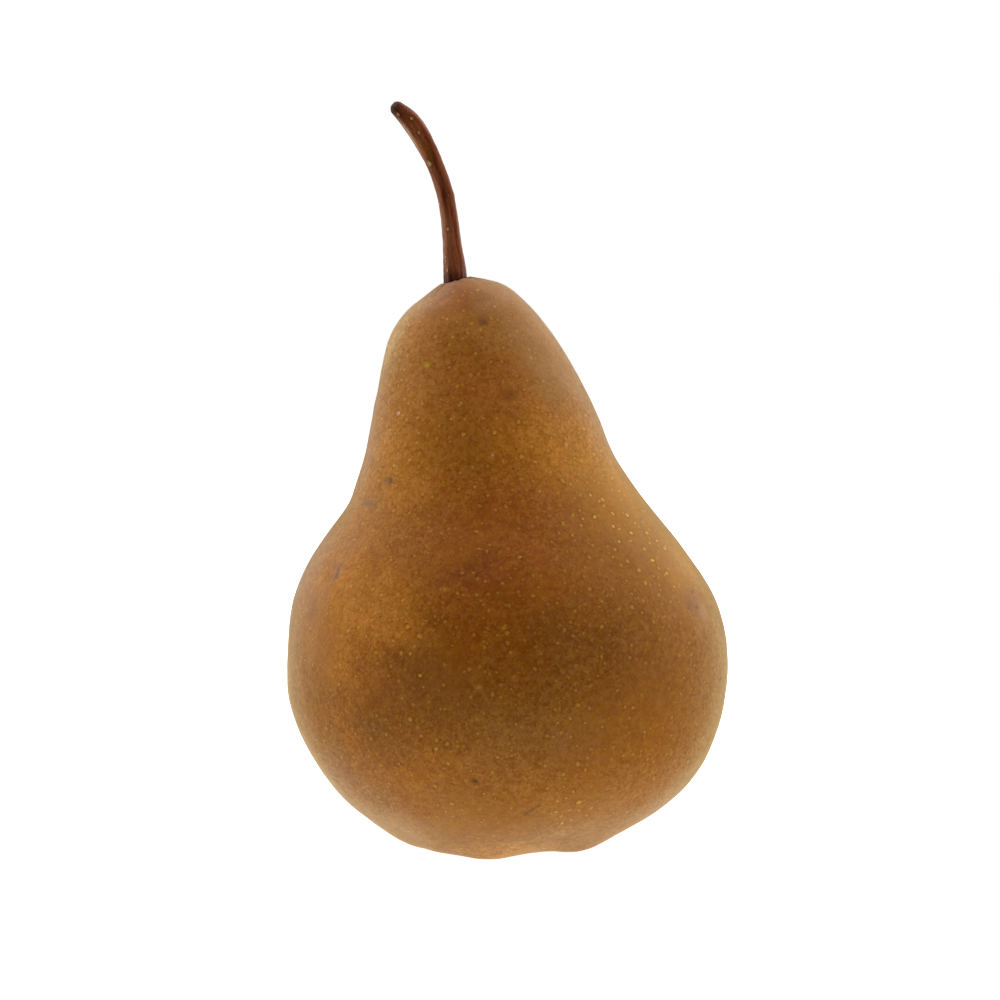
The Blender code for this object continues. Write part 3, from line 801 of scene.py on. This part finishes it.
def skin_material(fruit):
    g = Graph("russet_skin")
    here = g.node("ShaderNodeTexCoord").outputs
    p = g.vector("SCALE", here["Object"], scale=1000.0)
    facing = here["Normal"]
    x, y, z = g.split(p)

    # The areas have edges that wander.
    drift = g.vector("SUBTRACT", g.noise(p, 9.0, 2.0, colour=True), (0.5, 0.5, 0.5))
    wide = g.vector("ADD", p, g.vector("SCALE", drift, scale=13.0))
    wander = g.vector("SUBTRACT", g.noise(p, 1.1, 2.0, colour=True), (0.5, 0.5, 0.5))
    q = g.vector("ADD", p, g.vector("SCALE", wander, scale=0.7))

    # ---- ground colour, dull and pinker on the underside
    colour = g.mix(
        g.fit(g.split(wide)[2], 21.0, 4.0, 0.0, 0.75), linear(*GROUND), linear(*UNDERSIDE)
    )
    for _, centre, radii, tint in TINTS:
        colour = g.mix(g.math("MULTIPLY", g.patch(wide, centre, radii), 0.8), colour, linear(*tint))

    # The back is duller, in broad brown and tan areas: partly the skin's own tone, partly painted shade that darkens
    # the back against the brighter lights behind the pear.
    broad = g.noise(g.vector("MULTIPLY", p, (1.0, 1.0, 0.7)), 24.0, 2.0, 0.45)
    back_tone_and_shade = g.mix(g.fit(broad, 0.38, 0.62), linear(136, 80, 22), linear(186, 128, 60))
    colour = g.mix(g.fit(g.split(wide)[1], 0.0, 18.0, 0.0, 0.70), colour, back_tone_and_shade)

    # ---- how grainy the skin is: smooth on the right shoulder and the right of the neck
    smooth = g.patch(wide, (25, -18, 55), (22, 26, 23), 0.3)
    smooth = g.math("MAXIMUM", smooth, g.patch(wide, (7, -6, 88), (16, 18, 17), 0.35))
    smooth = g.math("MAXIMUM", smooth, g.patch(wide, (-4, -6, 93), (17, 17, 10), 0.35))
    smooth = g.math("MAXIMUM", smooth, g.math("MULTIPLY", g.patch(wide, (4, -34, 46), (15, 16, 15)), 0.75))
    smooth = g.math("MAXIMUM", smooth, g.math("MULTIPLY", g.patch(wide, (24, -28, 28), (16, 18, 15)), 0.9))
    smooth = g.math("MAXIMUM", smooth, g.math("MULTIPLY", g.patch(wide, (-3, -18, 78), (15, 14, 18)), 0.5))
    smooth = g.math("MAXIMUM", smooth, g.fit(g.noise(g.vector("ADD", p, (0, 60, 9)), 21.0, 1.0), 0.50, 0.72, 0.0, 0.8))
    grainy = g.math("SUBTRACT", 1.10, g.math("MULTIPLY", smooth, 0.70))

    # ---- patchy hue and depth, from 6 mm down to a third of a millimetre
    hue = g.noise(q, 1.25, 2.0, 0.6)
    colour = g.mix(g.fit(hue, 0.46, 0.66, 0.0, 0.20), colour, linear(196, 132, 26))
    colour = g.mix(g.fit(hue, 0.52, 0.34, 0.0, 0.18), colour, linear(150, 72, 16))
    tone = g.math("MULTIPLY_ADD", g.noise(p, 5.5, 3.0, 0.55, 0.4), 0.26, 1.0 - 0.13)
    tone = g.math("ADD", tone, g.math("MULTIPLY_ADD", g.noise(q, 2.1, 2.0, 0.55), 0.19, -0.095))
    colour = g.vector("SCALE", colour, scale=tone)
    grain = g.noise(q, 0.40, 2.0, 0.65)
    cell = g.cells(q, 0.60)
    shade = g.split(cell.outputs["Color"])[0]
    fine = g.math("MULTIPLY_ADD", grain, 0.80, -0.40)
    fine = g.math("ADD", fine, g.math("MULTIPLY_ADD", shade, 0.26, -0.13))
    fine = g.math("MULTIPLY", fine, grainy)
    # The light parts of the grain are greyer as well as lighter.
    gain = g.join(
        g.math("MULTIPLY_ADD", fine, 0.80, 1.0), g.math("MULTIPLY_ADD", fine, 1.35, 1.0), g.math("MULTIPLY_ADD", fine, 1.3, 1.0)
    )
    colour = g.vector("MULTIPLY", colour, gain)
    colour = g.vector("ADD", colour, g.vector("SCALE", (0.0, 0.012, 0.075), scale=fine))
    colour = g.vector("MAXIMUM", colour, (0.001, 0.001, 0.001))

    # ---- gold dots, thick on the grainy skin
    away, odds = g.spots(q, facing, 1.05)
    size = g.fit(odds[0], 0.0, 1.0, 0.20, 0.40, "LINEAR")
    dot = g.fit(away, size, g.math("MULTIPLY", size, 0.1))
    dot = g.math("MULTIPLY", dot, g.fit(odds[1], 0.30, 1.0, 0.0, 0.80))
    gold = g.vector("ADD", colour, (0.115, 0.082, 0.010))
    colour = g.mix(g.math("MULTIPLY", dot, grainy), colour, gold)

    # ---- lenticels, crisp on the right shoulder and soft elsewhere
    crisp = g.patch(wide, (24, -16, 54), (17, 22, 17))
    crisp = g.math("MAXIMUM", crisp, g.fit(g.noise(g.vector("ADD", p, (40, 0, 3)), 17.0, 1.0), 0.58, 0.72, 0.0, 0.7))
    front = g.patch(p, (22, -18, 53), (15, 22, 13))
    gold = g.vector("ADD", colour, (0.235, 0.165, 0.022))
    gold = g.mix(crisp, gold, linear(246, 196, 70))
    away, odds = g.spots(q, facing, 2.25)
    size = g.fit(odds[0], 0.0, 1.0, 0.28, 0.50, "LINEAR")
    edge = g.math("MULTIPLY", size, g.fit(crisp, 0.0, 1.0, 0.1, 0.45))
    lenticel = g.fit(away, size, edge)
    lenticel = g.math("MULTIPLY", lenticel, g.fit(odds[1], 0.12, 0.95, 0.15, 0.92))
    lenticel = g.math("MULTIPLY", lenticel, g.math("MULTIPLY_ADD", front, -0.7, 1.0))
    calm = g.patch(p, (7, -8, 85), (15, 19, 18))
    lenticel = g.math("MULTIPLY", lenticel, g.math("MULTIPLY_ADD", calm, -0.65, 1.0))
    raised = lenticel
    rim = g.math("MULTIPLY", g.fit(away, g.math("MULTIPLY", size, 1.6), size), g.fit(away, g.math("MULTIPLY", size, 0.7), size))
    rim = g.math("MULTIPLY", rim, g.fit(odds[1], 0.12, 0.95, 0.0, 0.26))
    for radius, strength, places in LENTICELS:
        near = None
        for at in places:
            far = g.vector("DISTANCE", q, on_skin(fruit, *at))
            near = far if near is None else g.math("MINIMUM", near, far)
        placed = g.fit(near, g.fit(crisp, 0.0, 1.0, 1.25 * radius, radius), g.fit(crisp, 0.0, 1.0, 0.05, radius * 0.5))
        lenticel = g.math("MAXIMUM", lenticel, g.math("MULTIPLY", placed, strength))
        ring = g.math("MULTIPLY", g.fit(near, radius * 1.75, radius * 1.15), g.fit(near, radius * 0.85, radius * 1.15))
        ring = g.math("MULTIPLY", ring, g.fit(crisp, 0.0, 1.0, 0.14 * strength, 0.42 * strength))
        rim = g.math("MAXIMUM", rim, ring)
    colour = g.mix(lenticel, colour, gold)
    colour = g.mix(rim, colour, linear(106, 56, 14))

    # ---- dark flecks
    away, odds = g.spots(g.vector("ADD", q, (5.0, 9.0, 2.0)), facing, 0.85)
    size = g.fit(odds[0], 0.0, 1.0, 0.12, 0.22, "LINEAR")
    dark = g.math("MULTIPLY", g.fit(away, size, g.math("MULTIPLY", size, 0.2)), g.fit(odds[1], 0.45, 1.0, 0.0, 0.55))
    dark = g.math("MULTIPLY", dark, grainy)
    colour = g.mix(dark, colour, linear(92, 48, 14))

    # ---- scars, with ragged edges
    ragged = g.vector("SUBTRACT", g.noise(p, 0.55, 3.0, 0.6, colour=True), (0.5, 0.5, 0.5))
    ragged = g.vector("ADD", p, g.vector("SCALE", ragged, scale=0.75))
    sunk = None
    for name, at, radii, tint, strength in SCARS:
        side = 1.0 if name.endswith("back") else -1.0
        scar = g.patch(ragged, on_skin(fruit, *at, side), radii)
        scar = g.math("MULTIPLY", scar, strength)
        colour = g.mix(scar, colour, linear(*tint))
        sunk = scar if sunk is None else g.math("MAXIMUM", sunk, scar)
    for name, start, end, width, tint, strength in SCRATCHES:
        side = 1.0 if name.endswith("back") else -1.0
        scar = g.stroke(ragged, on_skin(fruit, *start, side), on_skin(fruit, *end, side), width)
        colour = g.mix(g.math("MULTIPLY", scar, strength), colour, linear(*tint))

    g.put(g.shader.inputs["Base Color"], colour)
    rough = g.math("MULTIPLY_ADD", grain, 0.16, 0.42)
    rough = g.math("ADD", rough, g.math("MULTIPLY", lenticel, 0.08))
    rough = g.math("ADD", rough, g.math("MULTIPLY", sunk, 0.15))
    g.put(g.shader.inputs["Roughness"], rough)
    g.shader.inputs["IOR"].default_value = 1.45
    g.shader.inputs["Specular IOR Level"].default_value = 0.14
    g.put(g.shader.inputs["Sheen Weight"], g.math("MULTIPLY_ADD", fine, 0.65, 0.74, clamp=True))
    g.shader.inputs["Sheen Roughness"].default_value = 0.4
    # The down on the skin is warmer over the shoulder and paler at the crown and low down.
    belly = g.math("MULTIPLY", g.fit(z, 8.0, 15.0), g.fit(z, 68.0, 57.0))
    bloom = g.mix(belly, (1.0, 0.88, 0.55), g.mix(g.fit(x, -22.0, 16.0), (1.0, 0.86, 0.47), (1.0, 0.86, 0.40)))
    bloom = g.mix(g.math("MULTIPLY", g.patch(wide, (8, -16, 58), (44, 30, 18), 0.3), 0.9), bloom, (1.0, 0.87, 0.39))
    bloom = g.mix(g.fit(z, 82.0, 94.0, 0.0, 0.8), bloom, (1.0, 0.91, 0.72))
    bloom = g.mix(g.patch(wide, (-34, -2, 49), (10, 16, 14), 0.2), bloom, (1.0, 0.94, 0.70))
    g.put(g.shader.inputs["Sheen Tint"], bloom)
    height = g.math("MULTIPLY", grain, 0.35)
    height = g.math("ADD", height, g.math("MULTIPLY", raised, 0.5))
    height = g.math("SUBTRACT", height, g.math("MULTIPLY", dark, 0.6))
    g.put(g.shader.inputs["Normal"], g.bump(height, 0.00004, 0.6))
    return g.material


def stem_material(long):
    g = Graph("woody_stem")
    here = g.node("ShaderNodeAttribute", attribute_name="unbent").outputs["Vector"]
    across, deep, along = g.split(here)
    grain_at = g.vector("MULTIPLY", here, (1.0, 1.0, 0.11))
    sway = g.vector("SUBTRACT", g.noise(g.vector("MULTIPLY", here, (1.0, 1.0, 0.35)), 1.6, 2.0, colour=True), (0.5, 0.5, 0.5))
    swayed = g.vector("ADD", here, g.vector("SCALE", sway, scale=1.1))
    side = g.split(swayed)[0]

    # ---- bark: reddish brown, lighter low down on the left, in streaks along the grain
    streak = g.noise(grain_at, 0.75, 3.0, 0.6, 0.4)
    colour = g.mix(g.fit(streak, 0.34, 0.68), linear(129, 58, 28), linear(170, 96, 53))
    tan = g.math("MULTIPLY", g.fit(along, 24.0, 13.0), g.fit(side, 1.0, -0.9))
    colour = g.mix(g.math("MULTIPLY", tan, 0.75), colour, linear(166, 102, 66))
    fine = g.noise(grain_at, 0.20, 2.0, 0.6)
    colour = g.mix(g.fit(fine, 0.42, 0.80, 0.0, 0.45), colour, linear(88, 36, 18))
    mottle = g.noise(here, 0.9, 3.0, 0.6)
    colour = g.mix(g.fit(mottle, 0.52, 0.72, 0.0, 0.40), colour, linear(96, 44, 26))

    # ---- a maroon stripe down the front, from the middle of the bend to the lower third
    down = g.math("MULTIPLY", g.fit(along, 27.5, 24.5), g.fit(along, 12.5, 18.0))
    line = g.fit(g.math("ABSOLUTE", g.math("SUBTRACT", side, g.fit(along, 17.0, 25.0, -0.25, 0.40, "LINEAR"))), 0.52, 0.12)
    front = g.fit(deep, 0.2, -0.3)
    stripe = g.math("MULTIPLY", g.math("MULTIPLY", down, line), front)
    colour = g.mix(g.math("MULTIPLY", stripe, 0.76), colour, linear(88, 20, 8))
    # The same on the back, fainter.
    back = g.math("MULTIPLY", g.fit(g.math("ABSOLUTE", g.math("ADD", side, 0.3)), 0.6, 0.1), g.fit(deep, 0.1, 0.6))
    colour = g.mix(g.math("MULTIPLY", back, 0.5), colour, linear(84, 26, 12))

    # ---- golden patches, and painted highlights: the pale line along the left edge and lighter lines along the right edge
    for at, radii, tint, strength in (
        ((-0.1, -1.5, 25.6), (1.1, 1.4, 2.8), (150, 92, 24), 0.65),
        ((-0.75, -1.3, 23.2), (0.9, 1.3, 1.8), (176, 116, 52), 0.60),
        # painted highlight: the pale line along the upper left edge
        ((-1.15, -0.8, 29.6), (0.66, 1.0, 5.3), (228, 182, 138), 0.92),
        # painted highlight: the lower part of the pale line along the left edge
        ((-1.05, -0.8, 14.0), (0.58, 1.0, 8.0), (188, 128, 88), 0.62),
        # painted highlight: a lighter line low on the right edge
        ((1.35, -0.5, 10.0), (0.45, 1.0, 7.0), (150, 92, 66), 0.50),
        ((-0.2, -1.3, 21.0), (0.7, 1.2, 3.2), (150, 96, 56), 0.55),
        ((-0.85, -1.2, 26.2), (0.55, 1.0, 4.6), (186, 122, 66), 0.70),
        ((-0.75, -1.2, 19.0), (0.40, 0.9, 4.0), (158, 100, 66), 0.55),
        ((0.35, -1.35, 31.2), (0.5, 0.9, 3.4), (150, 74, 34), 0.45),
        # painted highlight: a lighter band along the right side
        ((1.2, -0.6, 22.0), (0.75, 1.2, 7.5), (186, 112, 70), 0.65),
        ((0.9, -1.1, 30.0), (0.9, 1.2, 3.0), (150, 76, 42), 0.50),
        ((0.6, 1.2, 27.0), (1.1, 1.2, 4.0), (156, 100, 48), 0.45),
    ):
        colour = g.mix(g.math("MULTIPLY", g.patch(swayed, at, radii), strength), colour, linear(*tint))

    # ---- dark and dry at the tip, dark maroon where it enters the fruit
    tip = g.fit(g.math("ADD", along, g.math("MULTIPLY", mottle, 1.8)), long + 0.4, long + 2.0, 0.0, 0.85)
    colour = g.mix(g.fit(along, long - 3.5, long - 0.5, 0.0, 0.35), colour, linear(84, 40, 24))
    colour = g.mix(tip, colour, g.mix(g.fit(fine, 0.40, 0.65), linear(44, 28, 22), linear(104, 84, 72)))
    shade = g.patch(swayed, (-0.35, -1.2, long + 0.1), (0.45, 1.4, 2.2))
    colour = g.mix(g.math("MULTIPLY", shade, 0.65), colour, linear(54, 40, 40))
    foot = g.fit(g.math("ADD", along, g.math("MULTIPLY", mottle, 2.0)), 7.0, 4.4, 0.0, 0.85)
    colour = g.mix(foot, colour, g.mix(g.fit(streak, 0.40, 0.66, 0.0, 0.6), linear(66, 20, 12), linear(112, 60, 44)))
    pale = g.math("MULTIPLY", g.patch(swayed, (1.35, -1.2, 4.6), (0.55, 1.2, 2.2)), g.fit(fine, 0.42, 0.62))
    colour = g.mix(g.math("MULTIPLY", pale, 0.8), colour, linear(150, 108, 104))

    # ---- cream lenticels in dark rings
    wobble = g.vector("SUBTRACT", g.noise(here, 0.45, 2.0, colour=True), (0.5, 0.5, 0.5))
    wobbly = g.vector("ADD", here, g.vector("SCALE", wobble, scale=0.30))
    wobbly = g.vector("MULTIPLY", wobbly, (1.0, 1.0, 0.68))
    near = None
    for angle, at, size, _ in STEM_MARKS:
        a = math.radians(angle)
        r = 1.22 if at > 33 else 1.46 if at > 9 else 1.78
        far = g.vector("DISTANCE", wobbly, (r * math.cos(a), r * math.sin(a), 0.68 * at))
        far = g.math("DIVIDE", far, size)
        near = far if near is None else g.math("MINIMUM", near, far)
    colour = g.mix(g.fit(near, 2.2, 1.0, 0.0, 0.38), colour, linear(58, 22, 12))
    cream = g.fit(near, 1.15, 0.30)
    colour = g.mix(g.math("MULTIPLY", cream, 0.92), colour, linear(220, 174, 120))

    g.put(g.shader.inputs["Base Color"], colour)
    g.put(g.shader.inputs["Roughness"], g.math("MULTIPLY_ADD", mottle, 0.25, 0.26))
    g.shader.inputs["Specular IOR Level"].default_value = 0.20
    g.shader.inputs["Specular Tint"].default_value = (1.0, 0.72, 0.50, 1.0)
    height = g.math("ADD", fine, g.math("MULTIPLY", streak, 0.8))
    height = g.math("ADD", height, g.math("MULTIPLY", cream, 0.6))
    g.put(g.shader.inputs["Normal"], g.bump(height, 0.00006, 0.8))
    return g.material


def calyx_material():
    g = Graph("dried_calyx")
    p = g.millimetres()
    tone = g.noise(p, 0.8, 3.0, 0.6)
    colour = g.mix(g.fit(tone, 0.35, 0.7), linear(94, 62, 34), linear(150, 112, 68))
    fine = g.noise(p, 0.2, 2.0, 0.6)
    colour = g.mix(g.fit(fine, 0.45, 0.75, 0.0, 0.6), colour, linear(62, 40, 20))
    g.put(g.shader.inputs["Base Color"], colour)
    g.shader.inputs["Roughness"].default_value = 0.8
    g.put(g.shader.inputs["Normal"], g.bump(fine, 0.00006, 0.8))
    return g.material


# ========================================================================================= staging
def build_floor():
    """A plain pale floor. The camera sees it a little brighter than it lights the pear."""
    size, low = 3.0, -0.00024  # a hair under the flats that the pear stands on
    mesh = bpy.data.meshes.new("floor")
    mesh.from_pydata(
        [(-size, -size, low), (size, -size, low), (size, size, low), (-size, size, low)], [], [(0, 1, 2, 3)]
    )
    floor = bpy.data.objects.new("floor", mesh)
    bpy.context.scene.collection.objects.link(floor)
    g = Graph("pale_floor")
    g.shader.inputs["Base Color"].default_value = (0.8, 0.8, 0.8, 1)
    g.shader.inputs["Roughness"].default_value = 1.0
    g.shader.inputs["Specular IOR Level"].default_value = 0.0
    glow = g.node("ShaderNodeEmission")
    seen = g.node("ShaderNodeLightPath").outputs["Is Camera Ray"]
    g.put(glow.inputs["Strength"], g.math("MULTIPLY", seen, FLOOR_GLOW))
    both = g.node("ShaderNodeAddShader")
    g.tree.links.new(g.shader.outputs[0], both.inputs[0])
    g.tree.links.new(glow.outputs[0], both.inputs[1])
    g.tree.links.new(both.outputs[0], g.tree.nodes["Material Output"].inputs["Surface"])
    mesh.materials.append(g.material)


def build_world():
    """White to the camera, and dark to everything else: all the light is from the softboxes."""
    scene = bpy.context.scene
    world = bpy.data.worlds.new("soft_tent")
    scene.world = world
    world.use_nodes = True
    tree = world.node_tree
    back = tree.nodes["Background"]
    back.inputs["Color"].default_value = (1, 1, 1, 1)
    path = tree.nodes.new("ShaderNodeLightPath")
    level = tree.nodes.new("ShaderNodeMapRange")
    tree.links.new(path.outputs["Is Camera Ray"], level.inputs[0])
    level.inputs[3].default_value = 0.0
    level.inputs[4].default_value = 1.05
    tree.links.new(level.outputs[0], back.inputs["Strength"])


# Softboxes: name, azimuth (0 is the front, 90 the right), elevation, width, height, radiance.
SOFTBOXES = (
    ("softbox_right", 90, 12, 0.55, 0.55, 1.46),
    ("softbox_right_high", 90, 50, 0.55, 0.55, 1.44),
    ("softbox_right_back", 135, 12, 0.55, 0.55, 1.51),
    ("softbox_right_back_high", 135, 50, 0.55, 0.55, 1.43),
    ("softbox_left_back", 225, 12, 0.55, 0.55, 1.40),
    ("softbox_left_back_high", 225, 50, 0.55, 0.55, 1.32),
    ("softbox_left", 270, 12, 0.55, 0.55, 1.32),
    ("softbox_left_high", 270, 50, 0.55, 0.55, 1.42),
    ("softbox_top", 0, 90, 0.55, 0.55, 1.57),
)
LIGHT_TABLE = (0.10, 0.50)  # width of the glowing patch under the pear, and its radiance
LIGHT_SPOT = (0.040, 0.9)  # the brighter middle of that patch
FLOOR_GLOW = 1.0


def add_softbox(name, place, way, width, height, radiance):
    data = bpy.data.lights.new(name, "AREA")
    data.shape = "RECTANGLE"
    data.size, data.size_y = width, height
    data.energy = math.pi * width * height * radiance
    light = bpy.data.objects.new(name, data)
    light.location = place
    light.rotation_euler = way.to_track_quat("-Z", "Y").to_euler()
    light.visible_camera = False
    bpy.context.scene.collection.objects.link(light)


def build_lights():
    for name, azimuth, elevation, width, height, radiance in SOFTBOXES:
        a, e = math.radians(azimuth), math.radians(elevation)
        out = Vector((math.sin(a) * math.cos(e), -math.cos(a) * math.cos(e), math.sin(e)))
        add_softbox(name, out * 0.8 + Vector((0, 0, 0.05)), -out, width, height, radiance)
    for name, (size, radiance) in (("light_table", LIGHT_TABLE), ("light_table_middle", LIGHT_SPOT)):
        add_softbox(name, Vector((0, 0, -0.0002)), Vector((0, 0, 1)), size, size, radiance)


def build_camera():
    distance, rise, aim = 0.7, math.radians(5.0), Vector((-0.00125, 0.0, 0.05812))
    data = bpy.data.cameras.new("camera")
    data.sensor_width = 36.0
    data.lens = 151.2
    data.clip_start, data.clip_end = 0.05, 20.0
    camera = bpy.data.objects.new("camera", data)
    back = Vector((0, -math.cos(rise), math.sin(rise)))
    camera.location = aim + back * distance
    camera.rotation_euler = (-back).to_track_quat("-Z", "Y").to_euler()
    bpy.context.scene.collection.objects.link(camera)
    bpy.context.scene.camera = camera


# ============================================================================================ main
def main():
    scene = bpy.context.scene
    scene.view_settings.view_transform = "Standard"
    scene.view_settings.look = "None"
    build_camera()

    fruit, middle = build_fruit()
    bpy.context.view_layer.update()
    stem, long = build_stem(middle)
    calyx = build_calyx(5.2, middle)
    for piece, node, slot, material in (
        (fruit, "fruit", "russet_skin", skin_material(fruit)),
        (stem, "stem", "woody_stem", stem_material(long)),
        (calyx, "calyx", "dried_calyx", calyx_material()),
    ):
        piece.data.materials.append(material)
        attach(piece, "root")
        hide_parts(node)

    build_floor()
    build_world()
    build_lights()


main()
